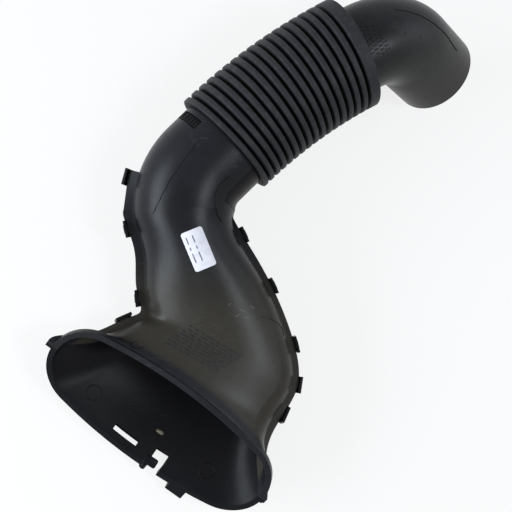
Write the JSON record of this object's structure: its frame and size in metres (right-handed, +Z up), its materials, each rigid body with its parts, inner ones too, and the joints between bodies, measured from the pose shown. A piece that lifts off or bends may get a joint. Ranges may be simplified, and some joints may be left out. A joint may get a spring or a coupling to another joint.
{
  "type": "air intake pipe",
  "caption": "Black moulded air intake pipe with a flared oval mouth, a narrowing two-half duct, a ribbed bellows and a smaller outlet elbow.",
  "frame": {"origin": "centre of the bounding box seen from above, at the lowest point, with the pipe lying on a flat surface", "axes": "+Z up, +Y along the longest extent from the flared mouth towards the bellows, +X towards the outlet elbow"},
  "size_m": [0.3426, 0.4042, 0.1118],
  "materials": {
    "duct_plastic": "satin black moulded plastic with light scuffs",
    "bellows_rubber": "matt black rubber, darker in the grooves",
    "elbow_plastic": "satin black moulded plastic",
    "label_paper": "matt white film, slightly lavender"
  },
  "bodies": {
    "root": {"upper_shell": "duct_plastic", "lower_shell": "duct_plastic", "bellows": "bellows_rubber", "elbow_pipe": "elbow_plastic", "label": "label_paper"}
  },
  "joints": []
}
